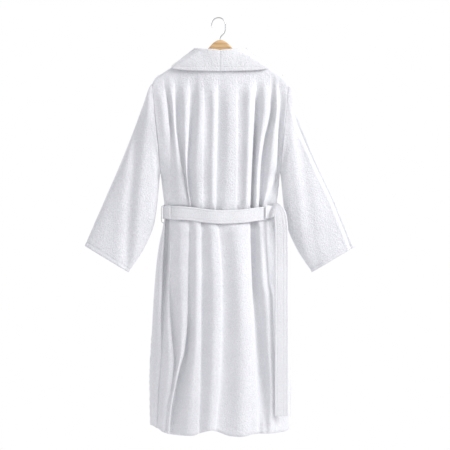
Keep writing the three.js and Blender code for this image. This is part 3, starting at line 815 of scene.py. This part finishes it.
# -------------------------------------------------------------------- sleeves
OUTER_X = [(-0.03, 218), (0, 227), (0.14, 254), (0.3, 283), (0.5, 330), (0.75, 390), (1, 447)]
OUTER_Z = [(-0.03, -212), (0, -217), (0.14, -283), (0.3, -362), (0.5, -480), (0.75, -618), (1, -749)]
INNER_X = [(-0.03, 192), (0, 198), (0.14, 203), (0.3, 208), (0.5, 219), (0.75, 251), (1, 302)]
INNER_Z = [(-0.03, -505), (0, -513), (0.14, -560), (0.3, -610), (0.5, -680), (0.75, -757), (1, -836)]
ARMHOLE = [(-520, 3), (-513, 9), (-505, 14), (-480, 24), (-420, 35), (-360, 36), (-300, 28.5), (-270, 23), (-240, 16), (-225, 14.5), (-215, 9), (-205, 5), (-198, 2)]
DEEP = [(-0.03, 33), (0, 37), (0.3, 37), (0.5, 36), (0.75, 31), (1, 25)]
SA, ST = 120, 170
BAND_L = [(-803.5, 307.9), (-697.9, 301.3), (-598.9, 294.7), (-499.9, 284.8), (-400.9, 278.2), (-308.6, 268.3), (-268.9, 258.4)]
CREASE_R = [(-770.5, -434.6), (-681.4, -400), (-589, -362), (-499.9, -319.1), (-400.9, -274.6), (-311.8, -239.9), (-285.4, -233.3)]
for side, tag in ((1, "left"), (-1, "right")):
    t = (np.linspace(0, 1, ST) * 1.03 - 0.03)[:, None]
    a = np.linspace(0, 2 * math.pi, SA, endpoint=False)[None]
    ox, oz, ix, iz = (smooth(r, t) for r in (OUTER_X, OUTER_Z, INNER_X, INNER_Z))
    half = np.hypot(ox - ix, oz - iz) / 2
    dx, dz = (ox - ix) / (2 * half), (oz - iz) / (2 * half)
    c, s = np.cos(a), np.sin(a)
    deep = smooth(DEEP, t) * np.sign(s) * np.abs(s) ** 0.86
    along = half * np.sign(c) * np.abs(c) ** 0.96
    # the head follows the panels' edges: tucked under them, then flush
    edge = np.maximum(lin(ARMHOLE, (oz + iz) / 2 + dz * along) + lin([(-0.03, -6), (0, 0.6)], t), 1)
    grow = bump01(t / 0.16)
    deep = deep * grow + np.sign(s) * np.minimum(1, np.abs(s) * 4) * edge * (1 - grow)
    x, y, z = (ox + ix) / 2 + dx * along, deep, (oz + iz) / 2 + dz * along
    ripple = bump01(t / 0.2)
    if side > 0:
        xb = smooth(BAND_L, z)
        f = -7.0 * bell((x - xb) / 15) + 3.4 * bell((x - xb + 30) / 17) + 2.0 * bell((x - xb - 30) / 18)
        f = f + 3.0 * bell((x - 199 - 0.05 * (z + 420)) / 9) * bell((z + 440) / 120)
    else:
        xb = smooth(CREASE_R, z)
        f = -4.5 * bell((-x - xb) / 4.5) + 2.0 * bell((-x - xb - 11) / 7)
        f = f - 3.0 * bell((-x - (-276 + 0.14 * (z + 500))) / 17) + 2.5 * bell((-x - (-248 + 0.10 * (z + 500))) / 14)
    f = f + 1.8 * noise3(np.stack([x, 0 * x + 90 * side, z * 0.3], -1), 44)
    back_side = bump01(s * 1.6 + 0.35)
    y = y + f * ripple * back_side * np.minimum(1, np.abs(s) * 1.6)
    g = 5.0 * np.sin((x - 0.5 * (z + 500)) / 26) * (1 - back_side) * ripple
    y = y - g * 0.6 * np.minimum(1, np.abs(s) * 1.6)
    p = np.stack([side * x, y, z], -1)
    to_cuff = (1 - t) * 590
    lift = -1.3 * bell((to_cuff - 14) / 2.2) + 0.5 * bump01((13 - to_cuff) / 3) + 0 * y
    out = lambda q, k=side: q - np.mean(q, axis=1, keepdims=True)
    made["sleeve_cloth_" + tag] = cloth("sleeve_cloth_" + tag, p, out=out, wrap=True, lift=lift, material=M_TERRY)

# -------------------------------------------------------------------- pockets
PR, PC = 58, 80
for side, tag in ((1, "left"), (-1, "right")):
    u = np.linspace(0, 1, PC)[None]
    w = np.linspace(0, 1, PR)[:, None]
    x = 18 + 148 * u + 0 * w
    corner = bump01((w - 0.86) / 0.14)
    z = -790 - 170 * w + 10 * corner * (np.abs(2 * u - 1) ** 6) + 0 * u
    z = z - 4.0 * np.sin(np.pi * u) * (1 - w)
    lift_p = np.minimum(1, np.sin(np.pi * u) * 2.0) * np.minimum(1, (1 - w) * 2.6)
    y = front_y(x, z) - 6.6 - 11.5 * lift_p ** 1.2 * (0.85 + 0.15 * np.cos(u * 9))
    p = np.stack([side * x, y, z], -1)
    edge = np.minimum(np.minimum(u * 148, (1 - u) * 148), (1 - w) * 170)
    lift = -0.9 * bell((edge - 6) / 1.6) - 1.0 * bell((w * 170 - 30) / 1.8)
    made["pocket_cloth_" + tag] = cloth("pocket_cloth_" + tag, p, thick=3.8, out=(0, -1, 0), lift=lift, material=M_TERRY)


# ----------------------------------------------------------------------- belt
def ribbon(name, path, across, width=42.0, thick=4.6, n=60, m=26, out=(0, 1, 0), grooves=(6.0, 36.0), ends=(False, False), material=None, pinch=None):
    """A flat strip along a smooth path; across gives its width's direction at each point."""
    c = spline(path, n)
    d = spline(across, n)
    d /= np.linalg.norm(d, axis=1, keepdims=True)
    q = np.linspace(-0.5, 0.5, m)
    wide = np.full(n, width) if pinch is None else width * spline(np.array(pinch)[:, None], n)[:, 0]
    p = c[:, None] + d[:, None] * (q[None, :, None] * wide[:, None, None])
    at = (q + 0.5) * width
    lift = np.zeros((n, m))
    for k in grooves:
        lift -= 0.9 * bell((at - k) / 1.1)[None]
    run = np.concatenate([[0], np.cumsum(np.linalg.norm(np.diff(c, axis=0), axis=1))])
    if ends[0]:
        lift -= (1.0 * bell((run - 14) / 1.6))[:, None]
    if ends[1]:
        lift -= (1.0 * bell((run[-1] - run - 14) / 1.6))[:, None]
    return cloth(name, p, thick=thick, out=out, lift=lift, pile=0.25, material=material)


xs = np.linspace(170, -156, 26)
zb = belt_z(xs)
yb = back_y(np.clip(xs, -152, 162), zb) + 7.6 + 6 * (xs / 170) ** 4
yb = yb - 8 * bump01((xs - 150) / 22) - 9 * bump01((-xs - 142) / 16)
yb = yb + 1.2 * np.sin(xs / 17)
path = np.stack([xs, yb, zb], 1)
tilt = np.stack([0 * xs, 0.05 * np.sin(xs / 40), 0 * xs + 1], 1)
made["belt_back_cloth"] = ribbon("belt_back_cloth", path, tilt, n=110, m=30, grooves=(6.0, 36.0), material=M_BELT)

right_path = [(-172, 20, -616), (-178, 30, -616), (-186, 42, -622), (-194, 51, -636), (-199, 55, -662), (-201, 54, -720), (-201.5, 51, -840), (-200.5, 53, -960), (-201.5, 54.5, -1080), (-200.5, 52, -1200), (-201, 53, -1306)]
right_across = [(-0.5, -0.2, 0.8), (-0.6, -0.12, 0.74), (-0.78, -0.04, 0.55), (-0.93, 0.02, 0.3), (-1, 0.04, 0.08), (-1, 0.05, 0), (-1, -0.08, 0), (-1, 0.06, 0), (-1, -0.04, 0), (-1, 0.05, 0), (-1, 0.02, 0)]
made["belt_tail_cloth_right"] = ribbon("belt_tail_cloth_right", right_path, right_across, n=190, m=34, grooves=(5.6, 25.0, 35.6), ends=(False, True), material=M_BELT, pinch=[0.42, 0.5, 0.64, 0.84, 0.97, 1, 1, 1, 1, 1, 1])

left_path = [(172, -66, -626), (166, -76, -624), (163, -86, -630), (163, -90, -650), (163, -89, -720), (163.5, -86, -840), (162.5, -89, -960), (163.5, -87, -1080), (162.5, -89, -1200), (163, -88, -1306)]
left_across = [(0.8, 0.55, 0.1), (0.92, 0.4, 0.1), (1, 0.1, 0.05), (1, 0, 0), (1, 0.04, 0), (1, -0.06, 0), (1, 0.06, 0), (1, -0.05, 0), (1, 0.04, 0), (1, 0, 0)]
made["belt_tail_cloth_left"] = ribbon("belt_tail_cloth_left", left_path, left_across, n=190, m=34, out=(0, -1, 0), grooves=(5.6, 25.0, 35.6), ends=(False, True), material=M_BELT, pinch=[0.8, 0.9, 1, 1, 1, 1, 1, 1, 1, 1])

turn_left = [(167, 34, -640), (176, 25, -639), (184, 15, -639), (189.5, 5, -640), (190.5, -8, -641), (187, -26, -642), (180, -46, -643), (170, -66, -644), (159, -82, -646)]
made["belt_turn_cloth_left"] = ribbon("belt_turn_cloth_left", turn_left, [(0, 0, 1)] * 9, n=70, m=26, out=(1, 0, 0), material=M_BELT, pinch=[1, 0.98, 0.94, 0.9, 0.9, 0.93, 0.97, 1, 0.95])
turn_right = [(-150, 40, -640), (-162, 33, -639), (-174, 24, -637), (-183, 14, -636), (-189.5, 5, -638), (-189, 10, -634), (-184, 20, -627), (-176, 24, -619)]
made["belt_turn_cloth_right"] = ribbon("belt_turn_cloth_right", turn_right, [(0, 0, 1)] * 4 + [(0, 0.1, 1), (0.1, 0.2, 1), (0.3, 0.2, 0.9), (0.55, 0.1, 0.8)], n=70, m=26, out=(0, 1, 0), material=M_BELT, pinch=[0.98, 0.93, 0.84, 0.76, 0.7, 0.62, 0.52, 0.42])

for side, tag in ((1, "left"), (-1, "right")):
    x0, x1 = 184.5, 195.5
    loop = [(x0, 5, -614), (x0 + 4, 5, -616.6), (x1 - 3, 5, -617.4), (x1, 5, -621), (x1, 5, -640), (x1, 5, -655), (x1, 5, -671), (x1 - 3, 5, -674.6), (x0 + 4, 5, -675.2), (x0, 5, -678)]
    loop = [(side * a, b, c) for a, b, c in loop]
    made["belt_loop_tape_" + tag] = ribbon("belt_loop_tape_" + tag, loop, [(0, 1, 0)] * len(loop), width=9.5, thick=1.9, n=60, m=10, out=(side, 0, 0), grooves=(1.6, 7.9), material=M_TAPE)

# ----------------------------------------------------------------- wood, wire
top = [(0, -71), (6, -71.5), (14, -74.5), (23, -80.5), (30, -87.5), (37, -95.5), (46, -105), (70, -118), (100, -134), (132, -153), (162, -172), (186, -189), (200, -200), (208, -208), (212, -216)]
under = [(0, -123), (24, -125), (46, -132), (70, -144), (100, -161), (132, -180), (162, -198), (190, -215), (205, -226), (212, -218)]
q = np.linspace(-1, 1, 240)
xs = 211.6 * np.sign(q) * (0.62 * np.abs(q) + 0.38 * np.abs(q) ** 2)
zt, zu = smooth(top, np.abs(xs)), smooth(under, np.abs(xs))
zt, zu = blur(zt[None], 2, 1)[0], blur(zu[None], 2, 1)[0]
ang = np.linspace(0, 2 * math.pi, 48, endpoint=False)
sx = np.sign(np.cos(ang)) * np.abs(np.cos(ang)) ** 0.45
sz = np.sign(np.sin(ang)) * np.abs(np.sin(ang)) ** 0.55
tip = np.sqrt(np.clip(1 - (np.abs(xs) / 212.2) ** 60, 0.02, 1))
grid = np.stack([
    xs[:, None] + 0 * ang[None],
    6.5 * tip[:, None] * sx[None],
    ((zt + zu) / 2)[:, None] + ((zt - zu) / 2 * tip)[:, None] * sz[None],
], -1)
rows, cols = grid.shape[:2]
i, j = np.meshgrid(np.arange(rows - 1), np.arange(cols), indexing="ij")
i, j = i.ravel(), j.ravel()
j1 = (j + 1) % cols
quads = np.stack([i * cols + j, (i + 1) * cols + j, (i + 1) * cols + j1, i * cols + j1], 1)
ends = []
for r, flip in ((0, False), (rows - 1, True)):
    for k in range(0, cols // 2 - 1):
        f = [r * cols + k, r * cols + k + 1, r * cols + cols - 2 - k, r * cols + cols - 1 - k]
        ends.append(f[::-1] if flip else f)
hanger = build("hanger_arms", grid.reshape(-1, 3) * MM, np.concatenate([quads, np.array(ends)]), M_WOOD)
import bmesh
bm = bmesh.new()
bm.from_mesh(hanger.data)
bmesh.ops.remove_doubles(bm, verts=bm.verts, dist=1e-6)
bmesh.ops.recalc_face_normals(bm, faces=bm.faces)
bm.to_mesh(hanger.data)
bm.free()
made["hanger_arms"] = hanger

wire = [(0, 0, -119.5), (0, 0, -100), (0, 0, -80), (0, 0, -66), (0, 0, -62.5), (-3.2, 0, -57.5), (-11, 0, -51), (-16.4, 0, -42)]
for deg in range(190, -19, -8):
    r = math.radians(deg)
    wire.append((5.9 + 22.9 * math.cos(r), 0, -20.2 + 22.9 * math.sin(r)))
made["hook_bar"] = tube("hook_bar", spline(wire, 220), 1.9, sides=20, material=M_STEEL)

# ------------------------------------------------------- bodies, hidden nodes, the nut's material
for tag, s in (("left", 1), ("right", -1)):
    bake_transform(made["front_cloth_" + tag])
    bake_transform(made["lapel_cloth_" + tag])
    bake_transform(made["pocket_cloth_" + tag])
    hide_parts("front_chest_" + tag, "front_skirt_" + tag)
    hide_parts("lapel_" + tag)
    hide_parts("pocket_" + tag)
    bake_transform(made["sleeve_cloth_" + tag])
    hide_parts("sleeve_" + tag)
    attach(made["belt_loop_tape_" + tag], "garment")
    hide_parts("belt_loop_" + tag)
    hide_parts("belt_tail_" + tag)
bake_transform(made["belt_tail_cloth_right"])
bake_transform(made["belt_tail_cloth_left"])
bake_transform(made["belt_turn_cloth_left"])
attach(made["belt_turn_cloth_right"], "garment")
for n in ("back_cloth", "collar_cloth", "belt_back_cloth", "hanger_arms"):
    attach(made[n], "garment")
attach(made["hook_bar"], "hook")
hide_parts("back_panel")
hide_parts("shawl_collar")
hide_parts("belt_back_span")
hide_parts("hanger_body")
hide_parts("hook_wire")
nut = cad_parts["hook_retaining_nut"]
nut.data.materials.clear()
nut.data.materials.append(M_STEEL)

# ------------------------------------------------- floor, light, world, camera
mesh = bpy.data.meshes.new("floor")
mesh.from_pydata([(-2.4, -1.6, -1.76), (2.4, -1.6, -1.76), (2.4, 1.9, -1.76), (-2.4, 1.9, -1.76)], [], [(0, 1, 2, 3)])
floor = bpy.data.objects.new("floor", mesh)
bpy.context.scene.collection.objects.link(floor)
m, t, shader = new_material("pale_floor")
at = node(t, "ShaderNodeTexCoord").outputs["Object"]
n1 = node(t, "ShaderNodeTexNoise")
n1.inputs["Scale"].default_value = 3
t.links.new(at, n1.inputs["Vector"])
c1 = ramp(t, n1.outputs["Fac"], [(0.3, (0.80, 0.80, 0.80)), (0.7, (0.84, 0.84, 0.84))])
t.links.new(c1.outputs[0], shader.inputs["Base Color"])
shader.inputs["Roughness"].default_value = 0.9
mesh.materials.append(m)


def lamp(name, at, to, size, watts, colour=(1, 1, 1)):
    d = bpy.data.lights.new(name, "AREA")
    d.shape = "DISK"
    d.size = size
    d.energy = watts
    d.color = colour
    o = bpy.data.objects.new(name, d)
    o.location = at
    o.rotation_mode = "QUATERNION"
    o.rotation_quaternion = (Vector(to) - Vector(at)).to_track_quat("-Z", "Y")
    bpy.context.scene.collection.objects.link(o)
    return o


lamp("key", (-3.2, 1.5, 1.5), (0, 0, -0.65), 1.9, 124)
lamp("front_fill", (2.4, -3.0, 1.2), (0, 0, -0.7), 2.0, 70)

world = bpy.data.worlds.new("studio")
bpy.context.scene.world = world
world.use_nodes = True
t = world.node_tree
t.nodes.clear()
out = t.nodes.new("ShaderNodeOutputWorld")
seen, lit = t.nodes.new("ShaderNodeBackground"), t.nodes.new("ShaderNodeBackground")
seen.inputs[0].default_value = (1, 1, 1, 1)
seen.inputs[1].default_value = 1.0
lit.inputs[0].default_value = (0.97, 0.975, 1, 1)
lit.inputs[1].default_value = 0.79
path_node = t.nodes.new("ShaderNodeLightPath")
mixed = t.nodes.new("ShaderNodeMixShader")
t.links.new(path_node.outputs["Is Camera Ray"], mixed.inputs[0])
t.links.new(lit.outputs[0], mixed.inputs[1])
t.links.new(seen.outputs[0], mixed.inputs[2])
t.links.new(mixed.outputs[0], out.inputs[0])
bpy.context.scene.view_settings.view_transform = "Standard"
bpy.context.scene.view_settings.look = "None"

cam = bpy.data.cameras.new("camera")
cam.sensor_width = 36
cam.lens = 36 * 8.0 / 1.485
camera = bpy.data.objects.new("camera", cam)
camera.location = (-0.0155, 8.0, -0.6815)
camera.rotation_mode = "QUATERNION"
camera.rotation_quaternion = Vector((0, -1, 0)).to_track_quat("-Z", "Y")
bpy.context.scene.collection.objects.link(camera)
bpy.context.scene.camera = camera
